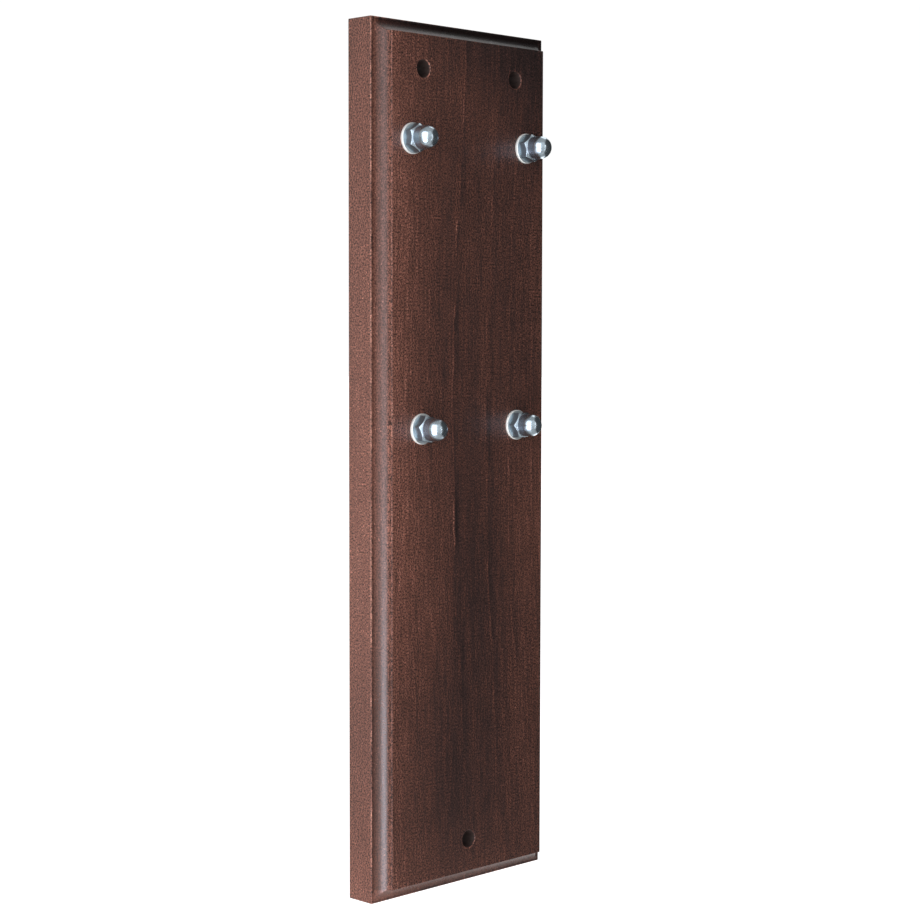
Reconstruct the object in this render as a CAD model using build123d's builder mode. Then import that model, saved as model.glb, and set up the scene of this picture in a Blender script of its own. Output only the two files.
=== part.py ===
from build123d import *
import math
import os

# Wall plate for a wooden training dummy: a hardwood board with a cove round its front edge,
# four carriage bolts let in from the back, and a flat washer and a domed cap nut on each stud.
#
# Frame, in millimetres: the origin is the centre of the back face, which lies on the wall.
# +X is to the right as seen from the front, +Z is up, and -Y leaves the wall. A distance out
# from the wall is called "out" below, so that a point at out = 33 lies at y = -33.

# board
board_width = 168.0
board_height = 600.0
board_thickness = 33.0

# cove round the front: a quarter round hollow, with a small square step beside the face
cove_radius = 9.5
cove_step = 1.0

# empty holes for the wall screws
wall_hole_diameter = 12.5
wall_hole_end_distance = 32.5
upper_wall_hole_spacing = 90.0

# places of the four studs, on the corners of a trapezium
upper_stud_spacing = 112.0
lower_stud_spacing = 94.0
upper_stud_top_distance = 80.0
stud_row_pitch = 196.0

# M10 carriage bolt: round domed head, square neck, threaded shank drawn at its crest diameter
thread_crest_diameter = 9.85
bolt_length = 45.0
bolt_end_chamfer = 0.9
head_diameter = 24.6
head_height = 5.4
head_rim_height = 0.8
neck_side = 10.4
neck_length = 6.4
counterbore_diameter = 26.0
counterbore_depth = 6.0
shank_hole_diameter = 10.5

# M10 flat washer
washer_outer_diameter = 21.0
washer_inner_diameter = 10.5
washer_thickness = 2.0
washer_edge = 0.2

# M10 cap nut with a high dome
nut_across_flats = 17.0
nut_hex_height = 7.1
nut_corner_slope = 30.0
nut_height = 20.5
dome_diameter = 15.8
nut_bore_clearance = 0.06
nut_bore_depth = 16.5
nut_bore_mouth = 0.5

# turn of each tight nut: the angle of one corner from +X, towards +Z
nut_corner_angle = {
    "upper_left": 31.0,
    "upper_right": 41.0,
    "lower_left": 50.0,
    "lower_right": 0.0,
}

# worked out from the sizes above
half_width = board_width / 2
half_height = board_height / 2
upper_row_z = half_height - upper_stud_top_distance
lower_row_z = upper_row_z - stud_row_pitch
wall_hole_z = half_height - wall_hole_end_distance

stud_places = {
    "upper_left": (-upper_stud_spacing / 2, upper_row_z),
    "upper_right": (upper_stud_spacing / 2, upper_row_z),
    "lower_left": (-lower_stud_spacing / 2, lower_row_z),
    "lower_right": (lower_stud_spacing / 2, lower_row_z),
}
wall_hole_places = [
    (-upper_wall_hole_spacing / 2, wall_hole_z),
    (upper_wall_hole_spacing / 2, wall_hole_z),
    (0, -wall_hole_z),
]


def facing_plane(x, z, out):
    """Plane parallel to the wall, its normal away from the wall, local x and y along X and Z."""
    return Plane(origin=(x, -out, z), x_dir=(1, 0, 0), z_dir=(0, -1, 0))


def radial_plane(x, z, out):
    """Plane through a stud's axis: local x is the radius, local y runs out along the stud."""
    return Plane(origin=(x, -out, z), x_dir=(1, 0, 0), z_dir=(0, 0, -1))


def stud_axis(x, z):
    return Axis((x, 0, z), (0, -1, 0))


def cove_section(plane):
    """Wood cut away at one front edge: local x runs in from the side, local y back from the face."""
    with BuildSketch(plane) as section:
        with BuildLine():
            Line((0, 0), (cove_radius, 0))
            Line((cove_radius, 0), (cove_radius, cove_step))
            CenterArc((0, cove_step), cove_radius, 0, 90)
            Line((0, cove_step + cove_radius), (0, 0))
        make_face()
    return section.sketch


# one front corner of the board for each side, with the direction in from that side
front_edges = [
    ((-half_width, -half_height), (1, 0, 0), board_height),
    ((half_width, -half_height), (-1, 0, 0), board_height),
    ((-half_width, -half_height), (0, 0, 1), board_width),
    ((-half_width, half_height), (0, 0, -1), board_width),
]

with BuildPart() as board:
    with BuildSketch(facing_plane(0, 0, 0)):
        Rectangle(board_width, board_height)
    extrude(amount=board_thickness)

    back_from_face = Vector(0, 1, 0)
    for (edge_x, edge_z), inward, run in front_edges:
        edge_direction = (0, 0, 1) if inward[0] else (1, 0, 0)
        section_normal = Vector(*inward).cross(back_from_face)
        edge_plane = Plane(
            origin=(edge_x, -board_thickness, edge_z), x_dir=inward, z_dir=section_normal
        )
        extrude(cove_section(edge_plane), amount=run, dir=edge_direction, mode=Mode.SUBTRACT)

    with BuildSketch(facing_plane(0, 0, 0)):
        with Locations(*wall_hole_places):
            Circle(wall_hole_diameter / 2)
        with Locations(*stud_places.values()):
            Circle(shank_hole_diameter / 2)
    extrude(amount=board_thickness, mode=Mode.SUBTRACT)

    with BuildSketch(facing_plane(0, 0, 0)):
        with Locations(*stud_places.values()):
            Circle(counterbore_diameter / 2)
    extrude(amount=counterbore_depth, mode=Mode.SUBTRACT)

    # the square necks bed into the wood in front of the counterbores
    with BuildSketch(facing_plane(0, 0, counterbore_depth)):
        with Locations(*stud_places.values()):
            Rectangle(neck_side, neck_side)
    extrude(amount=neck_length, mode=Mode.SUBTRACT)

board.part.label = "board"
os.makedirs("parts", exist_ok=True)
export_step(board.part, "parts/board.step")


def make_bolt(x, z):
    """Carriage bolt: its head's flat underside bears on the floor of the counterbore."""
    head_radius = head_diameter / 2
    shank_radius = thread_crest_diameter / 2
    bearing = counterbore_depth
    crown = bearing - head_height
    tip = bearing + bolt_length
    dome_rise = head_height - head_rim_height
    dome_radius = (head_radius**2 + dome_rise**2) / (2 * dome_rise)
    with BuildPart() as bolt:
        with BuildSketch(radial_plane(x, z, 0)):
            with BuildLine():
                Line((0, crown), (0, tip))
                Line((0, tip), (shank_radius - bolt_end_chamfer, tip))
                Line((shank_radius - bolt_end_chamfer, tip), (shank_radius, tip - bolt_end_chamfer))
                Line((shank_radius, tip - bolt_end_chamfer), (shank_radius, bearing))
                Line((shank_radius, bearing), (head_radius, bearing))
                Line((head_radius, bearing), (head_radius, bearing - head_rim_height))
                RadiusArc((head_radius, bearing - head_rim_height), (0, crown), dome_radius)
            make_face()
        revolve(axis=stud_axis(x, z))
        with BuildSketch(facing_plane(x, z, bearing)):
            Rectangle(neck_side, neck_side)
        extrude(amount=neck_length)
    return bolt.part


def make_washer(x, z):
    """Flat washer on the front face, with its outer edges just broken."""
    with BuildPart() as washer:
        with BuildSketch(facing_plane(x, z, board_thickness)):
            Circle(washer_outer_diameter / 2)
            Circle(washer_inner_diameter / 2, mode=Mode.SUBTRACT)
        extrude(amount=washer_thickness)
        rims = washer.edges().filter_by(GeomType.CIRCLE).group_by(SortBy.RADIUS)[-1]
        chamfer(rims, washer_edge)
    return washer.part


def make_cap_nut(x, z, corner_angle):
    """Cap nut on the washer: chamfered hexagon, straight dome wall and a half sphere, blind bore."""
    seat = board_thickness + washer_thickness
    flat_radius = nut_across_flats / 2
    corner_radius = flat_radius / math.cos(math.radians(30))
    corner_drop = (corner_radius - flat_radius) * math.tan(math.radians(nut_corner_slope))
    dome_radius = dome_diameter / 2
    dome_centre = nut_height - dome_radius
    bore_radius = thread_crest_diameter / 2 + nut_bore_clearance
    with BuildPart() as nut:
        with BuildSketch(facing_plane(x, z, seat)):
            RegularPolygon(flat_radius, 6, major_radius=False, rotation=corner_angle)
        extrude(amount=nut_hex_height)

        # cone over the front corners, and a slight one under the corners at the seat
        with BuildSketch(radial_plane(x, z, seat)):
            Polygon(
                (0, 0),
                (flat_radius, 0),
                (corner_radius, corner_drop / 2),
                (corner_radius, nut_hex_height - corner_drop),
                (flat_radius, nut_hex_height),
                (0, nut_hex_height),
                align=None,
            )
        revolve(axis=stud_axis(x, z), mode=Mode.INTERSECT)

        with BuildSketch(radial_plane(x, z, seat)):
            with BuildLine():
                Line((0, nut_hex_height), (dome_radius, nut_hex_height))
                Line((dome_radius, nut_hex_height), (dome_radius, dome_centre))
                CenterArc((0, dome_centre), dome_radius, 0, 90)
                Line((0, nut_height), (0, nut_hex_height))
            make_face()
        revolve(axis=stud_axis(x, z))

        with BuildSketch(radial_plane(x, z, seat)):
            Polygon(
                (0, 0),
                (bore_radius + nut_bore_mouth, 0),
                (bore_radius, nut_bore_mouth),
                (bore_radius, nut_bore_depth),
                (0, nut_bore_depth),
                align=None,
            )
        revolve(axis=stud_axis(x, z), mode=Mode.SUBTRACT)
    return nut.part


for place, (stud_x, stud_z) in stud_places.items():
    fasteners = {
        f"carriage_bolt_{place}": make_bolt(stud_x, stud_z),
        f"washer_{place}": make_washer(stud_x, stud_z),
        f"cap_nut_{place}": make_cap_nut(stud_x, stud_z, nut_corner_angle[place]),
    }
    for node, fastener in fasteners.items():
        fastener.label = node
        export_step(fastener, f"parts/{node}.step")
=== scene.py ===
"""Looks of the wall plate for a wooden training dummy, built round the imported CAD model.

The board, the four studs, their washers and their cap nuts are each remade as a detailed mesh
in the place of their CAD node. All lengths are in metres, in the frame of the CAD model: +X to
the right as seen from the front, +Y into the wall, +Z up, the origin on the wall face.
"""
import math

import bmesh
import bpy
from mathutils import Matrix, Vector


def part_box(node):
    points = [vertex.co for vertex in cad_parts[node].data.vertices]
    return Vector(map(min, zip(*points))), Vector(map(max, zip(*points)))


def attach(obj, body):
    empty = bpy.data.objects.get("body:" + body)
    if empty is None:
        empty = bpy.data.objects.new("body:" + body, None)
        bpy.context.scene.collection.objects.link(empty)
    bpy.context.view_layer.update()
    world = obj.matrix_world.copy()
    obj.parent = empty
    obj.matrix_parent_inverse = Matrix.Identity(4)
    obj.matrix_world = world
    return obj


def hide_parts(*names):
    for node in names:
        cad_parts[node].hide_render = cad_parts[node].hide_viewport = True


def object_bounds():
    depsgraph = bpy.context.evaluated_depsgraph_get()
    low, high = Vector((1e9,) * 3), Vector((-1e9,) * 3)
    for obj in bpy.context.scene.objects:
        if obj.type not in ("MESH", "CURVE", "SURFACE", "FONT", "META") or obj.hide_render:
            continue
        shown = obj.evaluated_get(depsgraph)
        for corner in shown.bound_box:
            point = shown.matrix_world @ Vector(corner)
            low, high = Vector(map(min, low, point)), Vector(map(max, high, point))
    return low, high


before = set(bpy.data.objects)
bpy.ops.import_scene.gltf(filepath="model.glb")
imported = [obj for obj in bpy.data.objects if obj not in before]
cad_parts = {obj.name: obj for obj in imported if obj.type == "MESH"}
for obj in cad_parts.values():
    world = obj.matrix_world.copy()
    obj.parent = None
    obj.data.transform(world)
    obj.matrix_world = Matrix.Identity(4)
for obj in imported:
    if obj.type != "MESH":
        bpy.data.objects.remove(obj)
cad_low, cad_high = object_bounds()

MM = 0.001
PLACES = ("upper_left", "upper_right", "lower_left", "lower_right")


# ---------------------------------------------------------------- camera, light and floor

# the view from the front left, a little above the middle: turns in degrees, lens in millimetres
CAMERA_PLACE = (-1.0288, -1.0423, 0.0923)
CAMERA_TURN = 45.277
CAMERA_DOWN = 3.649
CAMERA_ROLL = 0.107
CAMERA_LENS = 80.8
HEIGHT_OFF_FLOOR = 0.9
FLOOR_GLOW = 0.9
BACKDROP_SEEN = 1.02
WORLD_FRONT = 0.42
WORLD_BACK = 0.9
WORLD_BRIGHT_WAY = (0.45, 0.80, -0.40)
WORLD_FADE = (0.30, 0.95)
FLOOR_REACH = 40.0
FLOOR_FADE = (0.0, 2.4)

# dark cards: (from azimuth, to azimuth, bottom, top)
FLAG_DISTANCE = 0.8
FLAGS = [(13, 100, -0.55, 0.90), (100, 118, -0.35, 0.60)]


def make_camera():
    data = bpy.data.cameras.new("camera")
    data.lens = CAMERA_LENS
    camera = bpy.data.objects.new("camera", data)
    camera.location = CAMERA_PLACE
    turns = (90 - CAMERA_DOWN, -CAMERA_ROLL, -CAMERA_TURN)
    camera.rotation_euler = [math.radians(a) for a in turns]
    bpy.context.scene.collection.objects.link(camera)
    bpy.context.scene.camera = camera


def bearing(azimuth, distance, height=0.0):
    """Point at that bearing from the board: azimuth 0 is straight in front, 90 is to the right."""
    a = math.radians(azimuth)
    return Vector((distance * math.sin(a), -distance * math.cos(a), height))


def add_softbox(name, share, place, width, height, radiance, colour=(1, 1, 1), aim=(0, 0, 0)):
    """Area light that gives only one share of its light: the "diffuse" one or the "sheen"."""
    data = bpy.data.lights.new(name, "AREA")
    data.shape = "RECTANGLE"
    data.size = width
    data.size_y = height
    data.energy = radiance * math.pi * width * height
    data.color = colour
    lamp = bpy.data.objects.new(name, data)
    lamp.location = place
    lamp.rotation_euler = (Vector(aim) - Vector(place)).to_track_quat("-Z", "Y").to_euler()
    lamp.visible_camera = False
    lamp.visible_glossy = share == "sheen"
    lamp.visible_diffuse = share == "diffuse"
    bpy.context.scene.collection.objects.link(lamp)


def smooth_range(tree, value, start, end, first, last):
    """Goes softly from first to last as the value goes from start to end."""
    made = tree.nodes.new("ShaderNodeMapRange")
    made.interpolation_type = "SMOOTHSTEP"
    for socket, number in (("From Min", start), ("From Max", end), ("To Min", first), ("To Max", last)):
        made.inputs[socket].default_value = number
    tree.links.new(value, made.inputs["Value"])
    return made.outputs["Result"]


def white_to_the_eye(tree, level):
    """Shines at the level, but looks plain white when seen directly."""
    path = tree.nodes.new("ShaderNodeLightPath")
    seen = tree.nodes.new("ShaderNodeMix")
    tree.links.new(path.outputs["Is Camera Ray"], seen.inputs["Factor"])
    tree.links.new(level, seen.inputs["A"])
    seen.inputs["B"].default_value = BACKDROP_SEEN
    return seen.outputs["Result"]


def make_world():
    """Pale studio: white to the eye, and as a light brightest behind the board, dim in front."""
    world = bpy.data.worlds.new("studio")
    world.use_nodes = True
    bpy.context.scene.world = world
    tree = world.node_tree
    direction = tree.nodes.new("ShaderNodeTexCoord")
    towards_back = tree.nodes.new("ShaderNodeVectorMath")
    towards_back.operation = "DOT_PRODUCT"
    towards_back.inputs[1].default_value = WORLD_BRIGHT_WAY
    tree.links.new(direction.outputs["Generated"], towards_back.inputs[0])
    level = smooth_range(tree, towards_back.outputs["Value"], *WORLD_FADE, WORLD_FRONT, WORLD_BACK)
    background = tree.nodes["Background"]
    background.inputs["Color"].default_value = (1.0, 1.0, 1.0, 1.0)
    tree.links.new(white_to_the_eye(tree, level), background.inputs["Strength"])


def plain_material(name, colour, roughness):
    material = bpy.data.materials.new(name)
    material.use_nodes = True
    shader = material.node_tree.nodes["Principled BSDF"]
    shader.inputs["Base Color"].default_value = (*colour, 1)
    shader.inputs["Roughness"].default_value = roughness
    shader.inputs["Specular IOR Level"].default_value = 0.2
    return material


def floor_material():
    """Pale matt floor, white to the eye, that lights the board from below and behind on the right."""
    material = plain_material("pale_floor", (0.62, 0.62, 0.62), 0.9)
    tree = material.node_tree
    place = tree.nodes.new("ShaderNodeTexCoord")
    split = tree.nodes.new("ShaderNodeSeparateXYZ")
    tree.links.new(place.outputs["Object"], split.inputs[0])
    back_right = tree.nodes.new("ShaderNodeMath")
    back_right.operation = "ADD"
    tree.links.new(split.outputs["X"], back_right.inputs[0])
    tree.links.new(split.outputs["Y"], back_right.inputs[1])
    level = smooth_range(tree, back_right.outputs[0], *FLOOR_FADE, 0.0, FLOOR_GLOW)
    shader = tree.nodes["Principled BSDF"]
    shader.inputs["Emission Color"].default_value = (1, 1, 1, 1)
    tree.links.new(white_to_the_eye(tree, level), shader.inputs["Emission Strength"])
    return material


def add_sheet(name, corners, material):
    mesh = bpy.data.meshes.new(name)
    mesh.from_pydata([tuple(c) for c in corners], [], [(0, 1, 2, 3)])
    mesh.materials.append(material)
    sheet = bpy.data.objects.new(name, mesh)
    bpy.context.scene.collection.objects.link(sheet)
    return sheet


def make_floor():
    """The board hangs at working height, so the floor lies well below it."""
    level = cad_low.z - HEIGHT_OFF_FLOOR
    corners = [(sx * FLOOR_REACH, sy * FLOOR_REACH, level) for sx, sy in ((-1, -1), (1, -1), (1, 1), (-1, 1))]
    add_sheet("floor", corners, floor_material())


def make_flags():
    """Dark cards off to the front right, which the camera doesn't see but the hardware reflects."""
    card = plain_material("black_card", (0.06, 0.06, 0.06), 0.9)
    for number, (start, end, low, high) in enumerate(FLAGS):
        near, far = bearing(start, FLAG_DISTANCE), bearing(end, FLAG_DISTANCE)
        corners = [(near.x, near.y, low), (far.x, far.y, low), (far.x, far.y, high), (near.x, near.y, high)]
        add_sheet(f"flag_{number}", corners, card).visible_camera = False


def make_lights():
    """Broad soft light from the left, with a fill in front; the sheen of each is set apart."""
    # name, share, place, width, height, radiance, colour
    add_softbox("key", "diffuse", bearing(-67, 1.1, -0.30), 0.90, 2.0, 3.3, (0.98, 0.99, 1.0))
    add_softbox("fill", "diffuse", bearing(-10, 1.6), 1.3, 3.0, 1.05, (0.98, 0.99, 1.0))
    add_softbox("key_sheen", "sheen", bearing(-67, 1.1, 0.12), 1.15, 2.2, 1.65, (0.94, 0.96, 1.05))
    add_softbox("low_sheen", "sheen", bearing(-64, 1.05, -0.66), 0.80, 0.7, 3.3, (0.90, 0.93, 1.06))
    add_softbox("front_sheen", "sheen", bearing(-20, 1.6, 0.3), 1.3, 3.0, 0.34, (0.84, 0.94, 1.0))
    add_softbox("strip", "sheen", bearing(5, 1.3), 0.08, 1.4, 3.0)
    add_softbox("rim", "sheen", bearing(118, 1.2, 1.4), 1.3, 1.2, 1.0, aim=(0, 0, 0.3))
    add_softbox("low_back", "sheen", bearing(115, 1.2, -1.1), 2.0, 1.6, 1.1, aim=(0, 0, -0.3))


# ---------------------------------------------------------------- mesh helpers

def new_piece(name, bm, material, body, node):
    """Turns bm into an object that rides on a body and stands for a CAD node."""
    mesh = bpy.data.meshes.new(name)
    bm.to_mesh(mesh)
    bm.free()
    mesh.materials.append(material)
    piece = bpy.data.objects.new(name, mesh)
    bpy.context.scene.collection.objects.link(piece)
    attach(piece, body)
    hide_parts(node)
    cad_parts[node].data.materials.clear()
    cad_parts[node].data.materials.append(material)
    return piece


def is_square_on(face):
    """True for a flat face that looks straight along an axis."""
    return max(abs(c) for c in face.normal) > 0.99999


def shade(bm, sharp_angle=35.0):
    """Smooth shading, with crisp edges at sharp turns and round every flat, square-on face."""
    bm.normal_update()
    limit = math.radians(sharp_angle)
    for face in bm.faces:
        face.smooth = True
    for edge in bm.edges:
        if len(edge.link_faces) != 2:
            edge.smooth = False
            continue
        one, other = edge.link_faces
        turn = one.normal.angle(other.normal, 0.0)
        beside_flat = is_square_on(one) != is_square_on(other)
        edge.smooth = turn < limit and not (beside_flat and turn > 0.001)


def add_ring(bm, points):
    return [bm.verts.new(p) for p in points]


def bridge(bm, ring, following):
    """Band of faces between two rings with the same number of points."""
    made = []
    for i, point in enumerate(ring):
        j = (i + 1) % len(ring)
        made.append(bm.faces.new((point, ring[j], following[j], following[i])))
    return made


def bridge_all(bm, rings):
    for ring, following in zip(rings, rings[1:]):
        bridge(bm, ring, following)


def fan(bm, ring, tip, outward=True):
    """Faces from a ring to one point on its axis."""
    for i, point in enumerate(ring):
        next_point = ring[(i + 1) % len(ring)]
        bm.faces.new((point, next_point, tip) if outward else (next_point, point, tip))


def around(axis, radius, angle, out):
    """Point at a radius and an angle in radians about an axis (x, z) that runs out of the wall."""
    x, z = axis
    return (x + radius * math.cos(angle), -out, z + radius * math.sin(angle))


def turned(bm, axis, profile, segments):
    """Rings of a turned shape about an axis. The profile runs as (radius, out), out of the wall."""
    angles = [2 * math.pi * i / segments for i in range(segments)]
    return [add_ring(bm, [around(axis, radius, a, out) for a in angles]) for radius, out in profile]


def arc_points(centre, radius, start, end, steps):
    """(u, v) points on an arc, angles in degrees, both ends included."""
    points = []
    for i in range(steps + 1):
        a = math.radians(start + (end - start) * i / steps)
        points.append((centre[0] + radius * math.cos(a), centre[1] + radius * math.sin(a)))
    return points


# ---------------------------------------------------------------- board

COVE_RADIUS = 9.5 * MM
COVE_STEP = 1.0 * MM
ARRIS_ROUND = 0.35 * MM
FACE_EDGE_ROUND = 0.4 * MM
BACK_EDGE_ROUND = 0.8 * MM
CORNER_ROUND = 0.5 * MM
WALL_HOLE_RADIUS = 6.25 * MM
HOLE_RIM_ROUND = 0.45 * MM
SHANK_HOLE_RADIUS = 5.25 * MM
COUNTERBORE_RADIUS = 13.0 * MM
COUNTERBORE_DEPTH = 6.0 * MM
HOLE_SEGMENTS = 72
CUTTER_SPARE = 1 * MM

# (x, z) of the empty holes for the wall screws
WALL_HOLES = [(-45 * MM, 267.5 * MM), (45 * MM, 267.5 * MM), (0.0, -267.5 * MM)]


def board_profile(thickness):
    """(inset from the side, out from the wall) round the edge, from the back face to the front."""
    points = arc_points((BACK_EDGE_ROUND, BACK_EDGE_ROUND), BACK_EDGE_ROUND, 270, 180, 5)
    arris_out = thickness - COVE_STEP - COVE_RADIUS
    points += arc_points((ARRIS_ROUND, arris_out - ARRIS_ROUND), ARRIS_ROUND, 180, 90, 4)
    first = math.degrees(math.asin(ARRIS_ROUND / COVE_RADIUS))
    cove = arc_points((0, thickness - COVE_STEP), COVE_RADIUS, 270 + first, 360, 26)
    points += cove[1:]
    edge_centre = (COVE_RADIUS + FACE_EDGE_ROUND, thickness - FACE_EDGE_ROUND)
    points += arc_points(edge_centre, FACE_EDGE_ROUND, 180, 90, 4)
    return points


def rounded_rectangle(half_x, half_z, radius, steps=3):
    """Corner points of a rectangle with rounded corners, anticlockwise as seen from the front."""
    points = []
    for turn, (sx, sz) in enumerate(((1, 1), (-1, 1), (-1, -1), (1, -1))):
        centre = (sx * (half_x - radius), sz * (half_z - radius))
        points += arc_points(centre, radius, 90 * turn, 90 * turn + 90, steps)
    return points


def close_ends(bm, rings):
    """Flat faces over the first ring and the last."""
    bm.faces.new(rings[0][::-1])
    bm.faces.new(rings[-1])


def hole_cutter(bm, axis, profile):
    """Turned solid that a hole is cut with."""
    rings = turned(bm, axis, profile, HOLE_SEGMENTS)
    bridge_all(bm, rings)
    close_ends(bm, rings)


def drill(board_bm, cutters_bm):
    """The board's mesh with the cutters taken out of it."""
    made = []
    for name, bm in (("blank", board_bm), ("cutters", cutters_bm)):
        bmesh.ops.recalc_face_normals(bm, faces=bm.faces)
        mesh = bpy.data.meshes.new(name)
        bm.to_mesh(mesh)
        bm.free()
        thing = bpy.data.objects.new(name, mesh)
        bpy.context.scene.collection.objects.link(thing)
        made.append(thing)
    blank, cutters = made
    cut = blank.modifiers.new("cut", "BOOLEAN")
    cut.operation = "DIFFERENCE"
    cut.solver = "EXACT"
    cut.object = cutters
    shaped = bpy.data.meshes.new_from_object(blank.evaluated_get(bpy.context.evaluated_depsgraph_get()))
    result = bmesh.new()
    result.from_mesh(shaped)
    for thing in made:
        bpy.data.objects.remove(thing)
    return result


def wall_hole_profile(thickness):
    """(radius, out) of a wall hole with both of its rims broken, and a little beyond each face."""
    rim = HOLE_RIM_ROUND
    mouth = arc_points((WALL_HOLE_RADIUS + rim, rim), rim, 270, 180, 4)
    front_mouth = [(radius, thickness - out) for radius, out in reversed(mouth)]
    start = (WALL_HOLE_RADIUS + rim, -CUTTER_SPARE)
    end = (WALL_HOLE_RADIUS + rim, thickness + CUTTER_SPARE)
    return [start] + mouth + front_mouth + [end]


def stud_hole_profile(thickness):
    """(radius, out) of a stud's counterbore and its bore, and a little beyond each face."""
    return [
        (COUNTERBORE_RADIUS, -CUTTER_SPARE),
        (COUNTERBORE_RADIUS, COUNTERBORE_DEPTH),
        (SHANK_HOLE_RADIUS, COUNTERBORE_DEPTH),
        (SHANK_HOLE_RADIUS, thickness + CUTTER_SPARE),
    ]


def make_board(material):
    """Plank with a cove round its front, broken edges, wall holes and counterbored stud holes."""
    low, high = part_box("board")
    half_x, half_z = (high.x - low.x) / 2, (high.z - low.z) / 2
    thickness = high.y - low.y
    blank = bmesh.new()
    rings = []
    for inset, out in board_profile(thickness):
        outline = rounded_rectangle(half_x - inset, half_z - inset, CORNER_ROUND)
        rings.append(add_ring(blank, [(x, -out, z) for x, z in outline]))
    bridge_all(blank, rings)
    close_ends(blank, rings)

    cutters = bmesh.new()
    for axis in WALL_HOLES:
        hole_cutter(cutters, axis, wall_hole_profile(thickness))
    for axis in STUDS.values():
        hole_cutter(cutters, axis, stud_hole_profile(thickness))
    drilled = drill(blank, cutters)
    shade(drilled)
    new_piece("board_solid_beech", drilled, material, "plate", "board")


# ---------------------------------------------------------------- studs, washers and nuts

# degrees by which the arc of a dome stops short of its axis, where a fan of faces closes it
POLE_GAP = 2

HEAD_RADIUS = 12.3 * MM
HEAD_HEIGHT = 5.4 * MM
HEAD_RIM = 0.8 * MM
HEAD_RIM_ROUND = 0.2 * MM
NECK_SIDE = 10.4 * MM
NECK_LENGTH = 6.4 * MM
NECK_CORNER_REACH = 7.0 * MM
STUD_END_CHAMFER = 0.9 * MM
STUD_SEGMENTS = 48
THREAD_PITCH = 1.5 * MM
THREAD_CREST_RADIUS = 4.925 * MM
THREAD_ROOT_RADIUS = 4.1 * MM
THREAD_LENGTH = 26 * MM
THREAD_RUNOUT = 1.5 * THREAD_PITCH

# crest, flank, root and flank: (share of the pitch, share of the thread's depth)
THREAD_FORM = [(0.0, 0.0), (0.125, 0.0), (0.47, 1.0), (0.655, 1.0)]

WASHER_INNER_RADIUS = 5.25 * MM
WASHER_FRONT_ROUND = 0.6 * MM
WASHER_EDGE = 0.12 * MM
WASHER_SEGMENTS = 96

NUT_FLATS = 17.0 * MM
NUT_HEX_HEIGHT = 7.1 * MM
NUT_CORNER_ROUND = 0.35 * MM
NUT_SEAT_RADIUS = 8.2 * MM
NUT_SEAT_SLOPE = 0.35
NUT_TOP_RADIUS = 8.1 * MM
NUT_CHAMFER_ANGLE = 42
NUT_SHOULDER_ROUND = 0.30 * MM
DOME_RADIUS = 7.9 * MM
DOME_ROOT_ROUND = 0.35 * MM
BORE_RADIUS = 4.985 * MM
BORE_MOUTH = 0.5 * MM
BORE_DEPTH = 16.5 * MM

# turn of each tight nut in degrees: the angle of one corner from +X, towards +Z
NUT_TURN = {"upper_left": 31.0, "upper_right": 41.0, "lower_left": 50.0, "lower_right": 0.0}


def stud_axes():
    """(x, z) of each stud's axis, from the CAD bolts."""
    found = {}
    for place in PLACES:
        low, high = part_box(f"carriage_bolt_{place}")
        found[place] = ((low.x + high.x) / 2, (low.z + high.z) / 2)
    return found


STUDS = stud_axes()


def head_profile(crown, bearing_out):
    """(radius, out) of a bolt's domed head, from beside its crown to the bearing face."""
    rise = HEAD_HEIGHT - HEAD_RIM
    dome = (HEAD_RADIUS**2 + rise**2) / (2 * rise)
    half_angle = math.degrees(math.asin(HEAD_RADIUS / dome))
    rim_centre = (HEAD_RADIUS - HEAD_RIM_ROUND, bearing_out - HEAD_RIM_ROUND)
    profile = arc_points((0, crown + dome), dome, 270 + POLE_GAP, 270 + half_angle, 12)
    return profile + arc_points(rim_centre, HEAD_RIM_ROUND, 0, 90, 3)


def neck_ring(bm, axis, out):
    """Square ring of a bolt's neck, with as many points as its shank."""
    points = []
    for i in range(STUD_SEGMENTS):
        a = 2 * math.pi * i / STUD_SEGMENTS
        reach = (NECK_SIDE / 2) / max(abs(math.cos(a)), abs(math.sin(a)))
        points.append(around(axis, min(reach, NECK_CORNER_REACH), a, out))
    return add_ring(bm, points)


def thread_rings(bm, axis, start, tip):
    """Rings of the helical thread: the thread's form repeats, shifted out by one pitch each turn."""
    depth = THREAD_CREST_RADIUS - THREAD_ROOT_RADIUS
    chamfer_start = tip - STUD_END_CHAMFER
    helix = []
    for turn in range(int(THREAD_LENGTH / THREAD_PITCH) + 3):
        for share, drop in THREAD_FORM:
            points = []
            for i in range(STUD_SEGMENTS):
                out = start + (turn - 1 + share + i / STUD_SEGMENTS) * THREAD_PITCH
                fade = min(1.0, max(0.0, (out - start) / THREAD_RUNOUT))
                out = min(max(out, start), tip)
                radius = THREAD_CREST_RADIUS - depth * drop * fade
                radius = min(radius, THREAD_CREST_RADIUS - max(0.0, out - chamfer_start))
                points.append(around(axis, radius, 2 * math.pi * i / STUD_SEGMENTS, out))
            helix.append(add_ring(bm, points))
    return helix


def bridge_thread(bm, helix):
    """The last point of each ring joins the first point of the ring one pitch further out."""
    for index in range(len(helix) - 1):
        ring, following = helix[index], helix[index + 1]
        for i in range(STUD_SEGMENTS - 1):
            bm.faces.new((ring[i], ring[i + 1], following[i + 1], following[i]))
        over = index + len(THREAD_FORM)
        if over + 1 < len(helix):
            bm.faces.new((ring[-1], helix[over][0], helix[over + 1][0], following[-1]))


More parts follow.
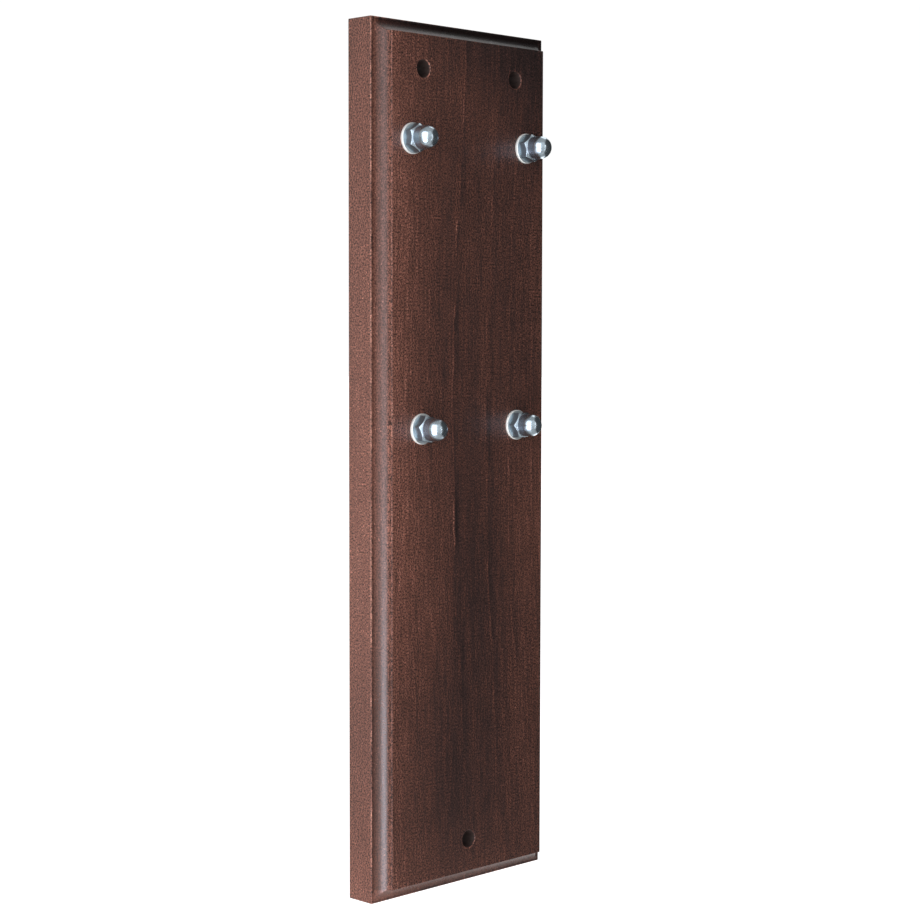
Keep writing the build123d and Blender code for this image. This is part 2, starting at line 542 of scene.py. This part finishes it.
def make_bolt(place, material):
    """Carriage bolt: domed head, square neck, plain shank and a rolled helical thread."""
    axis = STUDS[place]
    node = f"carriage_bolt_{place}"
    low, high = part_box(node)
    tip, crown = -low.y, -high.y
    bearing_out = crown + HEAD_HEIGHT
    neck_end = bearing_out + NECK_LENGTH
    thread_start = tip - THREAD_LENGTH
    shank = [(THREAD_CREST_RADIUS, neck_end), (THREAD_CREST_RADIUS, thread_start)]
    bm = bmesh.new()

    # head, neck and plain shank
    rings = turned(bm, axis, head_profile(crown, bearing_out), STUD_SEGMENTS)
    fan(bm, rings[0], bm.verts.new(around(axis, 0, 0, crown)), outward=False)
    rings += [neck_ring(bm, axis, bearing_out), neck_ring(bm, axis, neck_end)]
    rings += turned(bm, axis, shank, STUD_SEGMENTS)
    bridge_all(bm, rings)

    # thread, up to the chamfered tip
    helix = thread_rings(bm, axis, thread_start, tip)
    bridge(bm, rings[-1], helix[0])
    bridge_thread(bm, helix)
    fan(bm, helix[-1], bm.verts.new(around(axis, 0, 0, tip)))
    bmesh.ops.remove_doubles(bm, verts=bm.verts, dist=0.002 * MM)
    bmesh.ops.recalc_face_normals(bm, faces=bm.faces)
    shade(bm, 30)
    new_piece(f"stud_bolt_{place}", bm, material, "plate", node)


def make_washer(place, material, rim_material):
    """Flat washer with a blanked rim, rounded over on the front."""
    axis = STUDS[place]
    node = f"washer_{place}"
    low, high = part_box(node)
    seat, face = -high.y, -low.y
    outer = (high.x - low.x) / 2
    inner = WASHER_INNER_RADIUS
    edge = WASHER_FRONT_ROUND
    profile = [(inner + WASHER_EDGE, seat), (outer - WASHER_EDGE, seat), (outer, seat + WASHER_EDGE)]
    profile += arc_points((outer - edge, face - edge), edge, 0, 90, 8)
    profile += [(inner + edge, face), (inner, face - edge), (inner, seat + WASHER_EDGE)]
    bm = bmesh.new()
    rings = turned(bm, axis, profile, WASHER_SEGMENTS)
    bridge_all(bm, rings + rings[:1])
    bmesh.ops.recalc_face_normals(bm, faces=bm.faces)

    # the rim takes in the outer part of the rounded front edge
    rim_from = outer - 0.45 * edge
    for part in bm.faces:
        middle = part.calc_center_median()
        if math.hypot(middle.x - axis[0], middle.z - axis[1]) > rim_from:
            part.material_index = 1
    shade(bm, 50)
    washer = new_piece(f"flat_washer_{place}", bm, material, f"washer_{place}", node)
    washer.data.materials.append(rim_material)


def hexagon_outline(flat_radius, corner_round, turn, flat_steps=10):
    """(x, z) round a hexagon with slightly rounded corners, one corner at the angle turn."""
    centre_radius = (flat_radius - corner_round) / math.cos(math.radians(30))
    corners = []
    for k in range(6):
        a = turn + 60 * k
        centre = (centre_radius * math.cos(math.radians(a)), centre_radius * math.sin(math.radians(a)))
        corners.append(arc_points(centre, corner_round, a - 30, a + 30, 4))
    points = []
    for corner, next_corner in zip(corners, corners[1:] + corners[:1]):
        points += corner
        start, end = Vector(corner[-1]), Vector(next_corner[0])
        points += [tuple(start.lerp(end, i / flat_steps)) for i in range(1, flat_steps)]
    return points


def make_cap_nut(place, dome_material, shaded_flats_material, sheen_neck_material):
    """Cap nut: hexagon with coned corners, straight neck, half sphere and a blind bore."""
    axis = STUDS[place]
    node = f"cap_nut_{place}"
    low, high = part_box(node)
    seat, tip = -high.y, -low.y
    outline = hexagon_outline(NUT_FLATS / 2, NUT_CORNER_ROUND, NUT_TURN[place])
    polar = [(math.hypot(px, pz), math.atan2(pz, px)) for px, pz in outline]
    bm = bmesh.new()

    def ring(shape):
        """Ring whose points lie at shape(reach), the reach being how far out the hexagon is there."""
        points = []
        for reach, a in polar:
            radius, out = shape(reach)
            points.append(around(axis, radius, a, seat + out))
        return add_ring(bm, points)

    def circle(radius, out):
        return ring(lambda reach: (radius, out))

    slope = math.tan(math.radians(NUT_CHAMFER_ANGLE))
    drop = NUT_SHOULDER_ROUND * math.tan(math.radians(NUT_CHAMFER_ANGLE / 2))

    def shoulder(angle):
        """One ring of the soft edge where the flats meet the cone over the corners."""
        side = NUT_SHOULDER_ROUND * (math.cos(math.radians(angle)) - 1)
        rise = NUT_SHOULDER_ROUND * math.sin(math.radians(angle)) - drop

        def shape(reach):
            return reach + side, NUT_HEX_HEIGHT - (reach - NUT_TOP_RADIUS) * slope + rise

        return ring(shape)

    # bore, seat and the slight cone under the corners
    rings = [
        circle(BORE_RADIUS, BORE_DEPTH),
        circle(BORE_RADIUS, BORE_MOUTH),
        circle(BORE_RADIUS + BORE_MOUTH, 0),
        circle(NUT_SEAT_RADIUS, 0),
        ring(lambda reach: (reach, (reach - NUT_SEAT_RADIUS) * NUT_SEAT_SLOPE)),
    ]

    # flats, coned corners, and the neck with its root
    flats_from = len(rings) - 1
    rings += [shoulder((90 - NUT_CHAMFER_ANGLE) * step / 4) for step in range(5)]
    rings.append(circle(NUT_TOP_RADIUS, NUT_HEX_HEIGHT))
    root_centre = (DOME_RADIUS + DOME_ROOT_ROUND, NUT_HEX_HEIGHT + DOME_ROOT_ROUND)
    root = arc_points(root_centre, DOME_ROOT_ROUND, 270, 180, 4)
    rings += [circle(radius, out) for radius, out in root]
    neck_from = len(rings) - 1
    dome_centre = (0, tip - seat - DOME_RADIUS)
    dome = arc_points(dome_centre, DOME_RADIUS, 0, 90 - POLE_GAP, 22)
    rings += [circle(radius, out) for radius, out in dome]

    # the flats take the darker plating, painted shade, and the neck the bluer one, a painted reflection
    slots = {flats_from: 1, neck_from: 2}
    for number, (one, following) in enumerate(zip(rings, rings[1:])):
        for face in bridge(bm, one, following):
            face.material_index = slots.get(number, 0)
    fan(bm, rings[-1], bm.verts.new(around(axis, 0, 0, tip)))
    fan(bm, rings[0], bm.verts.new(around(axis, 0, 0, seat + BORE_DEPTH)), outward=False)
    bmesh.ops.remove_doubles(bm, verts=bm.verts, dist=0.001 * MM)
    bmesh.ops.recalc_face_normals(bm, faces=bm.faces)
    shade(bm, 40)
    nut = new_piece(f"domed_cap_nut_{place}", bm, dome_material, f"nut_{place}", node)
    nut.data.materials.append(shaded_flats_material)
    nut.data.materials.append(sheen_neck_material)


# ---------------------------------------------------------------- materials

class Graph:
    """Small helper that builds a node material from a few kinds of node."""

    def __init__(self, name):
        self.material = bpy.data.materials.new(name)
        self.material.use_nodes = True
        self.tree = self.material.node_tree
        self.shader = self.tree.nodes["Principled BSDF"]

    def put(self, socket, value):
        if isinstance(value, bpy.types.NodeSocket):
            self.tree.links.new(value, socket)
        else:
            socket.default_value = value

    def node(self, kind, inputs=None, **settings):
        made = self.tree.nodes.new(kind)
        for key, value in settings.items():
            setattr(made, key, value)
        for key, value in (inputs or {}).items():
            self.put(made.inputs[key], value)
        return made

    def math(self, operation, a, b=0.0, c=0.0):
        return self.node("ShaderNodeMath", {0: a, 1: b, 2: c}, operation=operation).outputs[0]

    def plus(self, base, value, weight):
        """The base with the weighted value added."""
        return self.math("MULTIPLY_ADD", value, weight, base)

    def minus(self, a, b):
        return self.math("SUBTRACT", a, b)

    def times(self, product, *factors):
        for factor in factors:
            product = self.math("MULTIPLY", product, factor)
        return product

    def length(self, a, b):
        """Length of the vector (a, b)."""
        return self.math("SQRT", self.math("ADD", self.times(a, a), self.times(b, b)))

    def rising(self, value, start, end):
        """Soft step from 0 at the start to 1 at the end."""
        made = self.node("ShaderNodeMapRange", {"Value": value, "From Min": start, "From Max": end})
        made.interpolation_type = "SMOOTHSTEP"
        return made.outputs["Result"]

    def falling(self, value, start, end):
        """Soft step from 1 at the start to 0 at the end."""
        return self.minus(1.0, self.rising(value, start, end))

    def position(self):
        return self.node("ShaderNodeTexCoord").outputs["Object"]

    def stretched(self, scale, shift=(0, 0, 0)):
        """Object position times a scale in each direction, per metre."""
        made = self.node("ShaderNodeMapping", {"Vector": self.position(), "Scale": scale, "Location": shift})
        return made.outputs["Vector"]

    def noise(self, scale, shift=(0, 0, 0), detail=3.0, roughness=0.5):
        """Noise between 0 and 1 with about that many waves per metre in each direction."""
        inputs = {"Vector": self.stretched(scale, shift), "Scale": 1.0}
        inputs.update({"Detail": detail, "Roughness": roughness})
        return self.node("ShaderNodeTexNoise", inputs).outputs["Fac"]

    def cell_distance(self, scale, shift):
        """Distance to the middle of the nearest of many scattered cells."""
        inputs = {"Vector": self.stretched(scale, shift), "Scale": 1.0}
        return self.node("ShaderNodeTexVoronoi", inputs).outputs["Distance"]

    def ramp(self, value, stops):
        made = self.node("ShaderNodeValToRGB", {"Fac": value})
        elements = made.color_ramp.elements
        while len(elements) < len(stops):
            elements.new(0.5)
        for element, (place, colour) in zip(elements, stops):
            element.position = place
            element.color = (*colour, 1.0)
        return made.outputs["Color"]

    def bump(self, height, strength, distance):
        made = self.node("ShaderNodeBump", {"Height": height, "Strength": strength, "Distance": distance})
        self.put(self.shader.inputs["Normal"], made.outputs["Normal"])


# the wood's figure: (x, y) of its pith, (x, strength) of its pale lines, and x of its dark heart
RINGS_PER_METRE = 420.0
PITH = (0.004, 0.050)
RING_LINES = [(-0.060, 0.3), (-0.040, 0.25), (-0.0155, 1.0), (0.0175, 0.6), (0.0400, 0.35), (0.0640, 0.3)]
HEART_FROM = -0.0190
HEART_TO = 0.020

# how the grain leaves a straight line: a bow along the whole board, and a slow drift
BOW = 0.17
BOW_MIDDLE = 0.03
DRIFT = 0.012

# patches of the board made lighter (+) or darker (-), and their soft sides
TONE_PATCHES = {
    "left side": (0.18, dict(right=(-0.080, -0.030))),
    "top": (-0.03, dict(bottom=(0.20, 0.30))),
    "upper middle": (-0.08, dict(left=(-0.050, -0.005), bottom=(-0.03, 0.06), top=(0.20, 0.26))),
    "lower left": (-0.12, dict(right=(-0.03, 0.0), bottom=(-0.30, -0.24), top=(-0.18, -0.10))),
    "right edge": (0.07, dict(left=(0.050, 0.078), bottom=(-0.12, 0.06))),
    "left middle": (0.05, dict(right=(-0.056, -0.034), bottom=(-0.11, -0.06), top=(0.0, 0.06))),
    "lower right": (-0.06, dict(left=(0.030, 0.050), top=(-0.12, -0.04))),
}
STAIN_COLOURS = [
    (0.00, (0.0100, 0.0058, 0.0054)),
    (0.25, (0.0340, 0.0164, 0.0142)),
    (0.50, (0.0830, 0.0335, 0.0240)),
    (0.75, (0.1700, 0.0680, 0.0490)),
    (1.00, (0.3100, 0.1450, 0.1060)),
]
# hole walls: end grain that takes the stain darker, with painted shade deep in the holes
HOLE_STAIN_AND_SHADE_COLOUR = (0.045, 0.030, 0.027, 1.0)
MIDDLE_TONE = 0.485
FLECK_CONTRAST = 2.4
EDGE_FLECK_CONTRAST = 1.8
COVE_FLECK_CONTRAST = 1.0
PORE_DEPTH = 0.00010


class BoardSpot:
    """A spot of the board's surface: where it is, and how far each part of the board reaches there."""

    def __init__(self, g):
        split = g.node("ShaderNodeSeparateXYZ", {0: g.position()})
        self.x, self.y, self.z = (split.outputs[name] for name in "XYZ")
        low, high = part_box("board")
        half_width, self.half_height = (high.x - low.x) / 2, (high.z - low.z) / 2
        self.face_out = -low.y
        self.cove_out = self.face_out - COVE_STEP - COVE_RADIUS

        # distances: out from the wall, and in from the nearest side or end
        self.out = g.times(self.y, -1.0)
        self.from_side = g.minus(half_width, g.math("ABSOLUTE", self.x))
        from_end = g.minus(self.half_height, g.math("ABSOLUTE", self.z))
        self.inset = g.math("MINIMUM", self.from_side, from_end)

        # parts of the board, each 1 on itself and 0 elsewhere
        self.face = g.rising(self.inset, COVE_RADIUS - 0.001, COVE_RADIUS)
        past_arris = g.rising(self.out, self.cove_out - 0.001, self.cove_out - 0.0005)
        self.cove = g.times(g.rising(self.inset, 0.0008, 0.0016), g.minus(1.0, self.face), past_arris)
        self.end = g.falling(from_end, 0.0001, 0.0004)
        self.flank = g.falling(self.from_side, 0.0001, 0.0004)
        self.back = g.falling(self.out, 0.0003, 0.0009)

        # the grain drifts slowly from side to side, with a fine jitter
        self.drift = g.minus(g.noise((2, 2, 9), (4.3, 0.7, 1.9), detail=2.0), 0.5)
        self.jitter = g.minus(g.noise((30, 30, 70), roughness=0.65), 0.5)

    def patch(self, g, left=None, right=None, bottom=None, top=None):
        """Soft-edged patch: each side given is the pair of places that it fades between."""
        sides = ((g.rising, self.z, bottom), (g.falling, self.z, top),
                 (g.rising, self.x, left), (g.falling, self.x, right))
        return g.times(*(step(value, *ends) for step, value, ends in sides if ends))


def late_wood(g, spot, across):
    """Fine growth rings about a pith that lies behind the board."""
    radius = g.length(g.minus(across, PITH[0]), g.minus(spot.y, PITH[1]))
    ring = g.math("FRACT", g.times(radius, RINGS_PER_METRE))
    return g.times(g.rising(ring, 0.1, 0.9), g.falling(ring, 0.92, 1.0))


def ring_lines(g, spot, across):
    """Broken pale lines along the grain, each with a dark side, fainter at the board's two ends."""
    lines = 0.0
    for place, strength in RING_LINES:
        off = g.minus(across, place)
        pale = g.falling(g.math("ABSOLUTE", off), 0.0003, 0.0010)
        dark = g.times(g.rising(off, 0.0006, 0.0018), g.falling(off, 0.002, 0.008))
        lines = g.plus(lines, g.plus(pale, dark, -0.45), strength)
    breaks = g.rising(g.noise((140, 140, 24), (1, 2, 5), detail=2.0), 0.36, 0.60)
    low_fade = g.plus(0.35, g.rising(spot.z, -0.22, -0.12), 0.65)
    high_fade = g.plus(1.0, g.rising(spot.z, 0.12, 0.22), -0.40)
    return g.times(lines, breaks, low_fade, high_fade)


def dark_heart(g, spot):
    """Dark heartwood low on the board: a sharp edge on the left, a soft one on the right."""
    wander = g.plus(g.plus(spot.x, spot.drift, DRIFT), spot.jitter, 0.004)
    rise, fall = (HEART_FROM, HEART_FROM + 0.004), (HEART_TO, HEART_TO + 0.036)
    heart = g.times(g.rising(wander, *rise), g.falling(wander, *fall))
    beside = g.times(g.rising(wander, HEART_FROM - 0.022, HEART_FROM), g.falling(wander, *rise),
                     g.falling(spot.z, -0.16, -0.08))
    reach = g.times(g.falling(spot.z, -0.06, 0.07), g.rising(spot.z, -0.31, -0.24))
    return g.times(g.plus(heart, beside, 0.50), reach)


def wear_and_glint_edges(g, spot):
    """Paler in patches along the two edges of the cove and the rims of the holes: stain rubbed thin, and
    partly a painted highlight for the glint on these rounded edges.
    """
    paleness = 0.0
    for edge_inset, edge_out, strength in ((0.0, spot.cove_out, 1.0), (COVE_RADIUS, spot.face_out, 0.28)):
        gap = g.length(g.minus(spot.inset, edge_inset), g.minus(spot.out, edge_out))
        paleness = g.plus(paleness, g.falling(gap, 0.0003, 0.0010), strength)
    for hole_x, hole_z in WALL_HOLES:
        reach = g.length(g.minus(spot.x, hole_x), g.minus(spot.z, hole_z))
        off_rim = g.math("ABSOLUTE", g.minus(reach, WALL_HOLE_RADIUS + HOLE_RIM_ROUND / 2))
        paleness = g.plus(paleness, g.falling(off_rim, 0.0002, 0.0007), 0.9)
    return g.times(paleness, g.rising(g.noise((90, 90, 45), (9, 4, 2)), 0.35, 0.62))


def stain_and_light_tone(g, spot, threads):
    """How light the wood is, from 0 to 1, before its flecks: its stain and figure, with painted shade and
    painted light in places.
    """
    bent = g.minus(spot.z, BOW_MIDDLE)
    across = g.minus(spot.x, g.times(bent, bent, BOW))
    across = g.plus(g.plus(across, spot.drift, DRIFT), spot.jitter, 0.003)
    late = late_wood(g, spot, across)
    heart = dark_heart(g, spot)
    deep_heart = g.times(spot.patch(g, bottom=(-0.15, -0.10), top=(-0.09, -0.04)), heart)

    # darker towards the top right corner and along the top of the cove, painted shade where the light falls
    # off there, and darker just beside the cove's outer arris
    corner = g.rising(g.plus(spot.x, spot.z, 1.1), 0.25, 0.40)
    top_cove_shade = g.times(g.rising(spot.z, spot.half_height - 0.0085, spot.half_height - 0.0060),
                       g.rising(spot.out, spot.cove_out - 0.0010, spot.cove_out),
                       g.rising(spot.from_side, 0.004, 0.008))
    quirk = g.times(g.rising(spot.inset, 0.0004, 0.0009), g.falling(spot.inset, 0.0012, 0.0028),
                    g.rising(spot.out, spot.cove_out - 0.0015, spot.cove_out - 0.0003))

    # lighter on the flanks, more so low down, and in the bottom of the cove: painted light where the key
    # light and the floor reach them; and rings that show on the end grain
    lit_low_flank = g.times(spot.flank, g.falling(spot.z, -0.20, 0.05))
    bottom = COVE_RADIUS - spot.half_height
    low_cove = g.times(g.falling(spot.z, bottom - 0.001, bottom), spot.cove)
    end_rings = g.times(spot.end, g.minus(late, 0.65))

    tone = MIDDLE_TONE
    for weight, sides in TONE_PATCHES.values():
        tone = g.plus(tone, spot.patch(g, **sides), weight)
    # the whole cove is a little darker too: painted shade in the hollow
    for feature, weight in (
        (heart, -0.17), (deep_heart, -0.05), (ring_lines(g, spot, across), 0.44), (corner, -0.38),
        (spot.cove, -0.08), (top_cove_shade, -0.26), (low_cove, 0.16), (quirk, -0.14),
        (spot.flank, 0.055), (lit_low_flank, 0.035), (end_rings, -0.45), (wear_and_glint_edges(g, spot), 0.42),
    ):
        tone = g.plus(tone, feature, weight)

    # cloudy mottle, and streaks along the grain that show most on the face
    mottle = g.noise((16, 16, 6), (0.3, 0.1, 0.8), detail=4.0, roughness=0.6)
    streaks = g.noise((520, 520, 10), detail=4.0, roughness=0.6)
    fibres = g.noise((640, 640, 45), (3, 1, 6), detail=2.0, roughness=0.6)
    tone = g.plus(tone, g.minus(mottle, 0.5), 0.20)
    shown = g.plus(0.45, spot.face, 0.55)
    for pattern, weight in ((late, -0.05), (streaks, 0.35), (threads, 0.50), (fibres, 0.34)):
        tone = g.plus(tone, g.times(g.minus(pattern, 0.5), weight), shown)
    return tone


def fleck_strength(g, spot, flecks):
    """Factor on the colour: pores and pale flecks, strongest on the face and weakest in the cove."""
    specks = g.falling(g.cell_distance((300, 300, 300), (1, 1, 4)), 0.10, 0.17)
    contrast = g.plus(EDGE_FLECK_CONTRAST, spot.face, FLECK_CONTRAST - EDGE_FLECK_CONTRAST)
    contrast = g.plus(contrast, spot.cove, COVE_FLECK_CONTRAST - EDGE_FLECK_CONTRAST)
    return g.plus(g.plus(1.0, g.minus(flecks, 0.5), contrast), specks, 1.5)


def drilled_walls(g, spot):
    """The walls of the holes, which take a darker colour that is partly painted shade: well inside the
    board's outline, and below both faces.
    """
    inside = g.rising(spot.inset, 0.0140, 0.0145)
    below_face = g.math("LESS_THAN", spot.out, spot.face_out - 0.0006)
    return g.times(inside, below_face, g.math("GREATER_THAN", spot.out, 0.0006))


def put_varnish(g, spot, flecks):
    """Satin varnish: glossier in the cove, thin on its outer half and on the back."""
    roughness = g.plus(0.29, g.noise((60, 60, 14)), 0.10)
    roughness = g.plus(roughness, g.minus(flecks, 0.5), -0.06)
    roughness = g.plus(roughness, spot.cove, -0.03)
    roughness = g.plus(roughness, spot.back, 0.16)
    g.put(g.shader.inputs["Roughness"], roughness)
    low_cove = g.times(spot.cove, g.falling(spot.z, -0.30, 0.20))
    outer_cove = g.times(spot.cove, g.falling(spot.inset, 0.0030, 0.0055))
    sheen = 0.5
    for area, weight in ((low_cove, 0.40), (outer_cove, -0.38), (spot.back, -0.28)):
        sheen = g.plus(sheen, area, weight)
    g.put(g.shader.inputs["Specular IOR Level"], sheen)
    g.shader.inputs["IOR"].default_value = 1.5


def stained_beech():
    """Flat-sawn beech under a walnut stain and satin varnish, with the grain along Z."""
    g = Graph("stained_beech")
    spot = BoardSpot(g)
    threads = g.noise((950, 950, 60), detail=2.0)
    flecks = g.rising(g.noise((1000, 1000, 820), (2, 5, 1), roughness=0.7), 0.36, 0.64)
    colour = g.ramp(stain_and_light_tone(g, spot, threads), STAIN_COLOURS)
    strength = fleck_strength(g, spot, flecks)
    colour = g.node("ShaderNodeVectorMath", {0: colour, "Scale": strength}, operation="SCALE").outputs[0]
    # the hole walls get their darker colour, partly painted shade
    hole_shade_mix = g.node("ShaderNodeMix", {"Factor": drilled_walls(g, spot)}, data_type="RGBA")
    g.put(hole_shade_mix.inputs[6], colour)
    g.put(hole_shade_mix.inputs[7], HOLE_STAIN_AND_SHADE_COLOUR)
    g.put(g.shader.inputs["Base Color"], hole_shade_mix.outputs[2])
    put_varnish(g, spot, flecks)
    g.bump(g.plus(flecks, threads, 0.6), 0.4, PORE_DEPTH)
    return g.material


def bright_plate(name, dark, light, roughness):
    """Bright plating, more or less polished, with fine turning marks round the axis."""
    g = Graph(name)
    g.shader.inputs["Metallic"].default_value = 1.0
    cloud = g.noise((260, 260, 260))
    g.put(g.shader.inputs["Base Color"], g.ramp(cloud, [(0.30, dark), (0.70, light)]))
    scratches = g.noise((900, 4200, 900), roughness=0.6)
    g.put(g.shader.inputs["Roughness"], g.plus(roughness, scratches, 0.12))
    g.bump(scratches, 0.10, 0.00002)
    return g.material


def sheared_edge():
    """The blanked rim of a washer: the same plating over a duller, rougher cut."""
    g = Graph("sheared_steel")
    g.shader.inputs["Metallic"].default_value = 0.4
    marks = g.noise((1500, 300, 1500), roughness=0.6)
    g.put(g.shader.inputs["Base Color"], g.ramp(marks, [
        (0.30, (0.90, 0.92, 0.89)),
        (0.70, (0.98, 0.98, 0.96)),
    ]))
    g.put(g.shader.inputs["Roughness"], g.plus(0.50, marks, 0.20))
    g.bump(marks, 0.20, 0.00003)
    return g.material


def zinc_plate():
    """Zinc plate over rolled steel, with the faint bloom that the passivated coat has."""
    g = Graph("zinc_plated_steel")
    g.shader.inputs["Metallic"].default_value = 0.85
    cloud = g.noise((220, 220, 220), (3, 1, 2), detail=4.0)
    g.put(g.shader.inputs["Base Color"], g.ramp(cloud, [
        (0.30, (0.64, 0.69, 0.69)),
        (0.70, (0.84, 0.88, 0.88)),
    ]))
    grain = g.noise((2600, 2600, 2600), roughness=0.6)
    g.put(g.shader.inputs["Roughness"], g.plus(0.33, grain, 0.20))
    g.bump(grain, 0.15, 0.00002)
    return g.material


# ---------------------------------------------------------------- assembly

bpy.context.scene.view_settings.view_transform = "Standard"
make_camera()
make_world()
make_floor()
make_flags()
make_lights()

beech = stained_beech()
zinc = zinc_plate()
rim_steel = sheared_edge()
dome_plate = bright_plate("bright_plated_steel", (0.50, 0.60, 0.67), (0.62, 0.72, 0.79), 0.15)
# the flats are a darker copy of the plating: painted shade for the dark wood that they reflect
shaded_flats_plate = bright_plate("bright_plated_flats_painted_shade", (0.29, 0.38, 0.45), (0.38, 0.48, 0.55), 0.32)
# the neck is a bluer copy of the plating: a painted reflection of the pale blue light in front
sheen_neck_plate = bright_plate("bright_plated_neck_painted_sheen", (0.48, 0.66, 0.82), (0.60, 0.78, 0.94), 0.22)
make_board(beech)
for stud in PLACES:
    make_bolt(stud, zinc)
    make_washer(stud, zinc, rim_steel)
    make_cap_nut(stud, dome_plate, shaded_flats_plate, sheen_neck_plate)
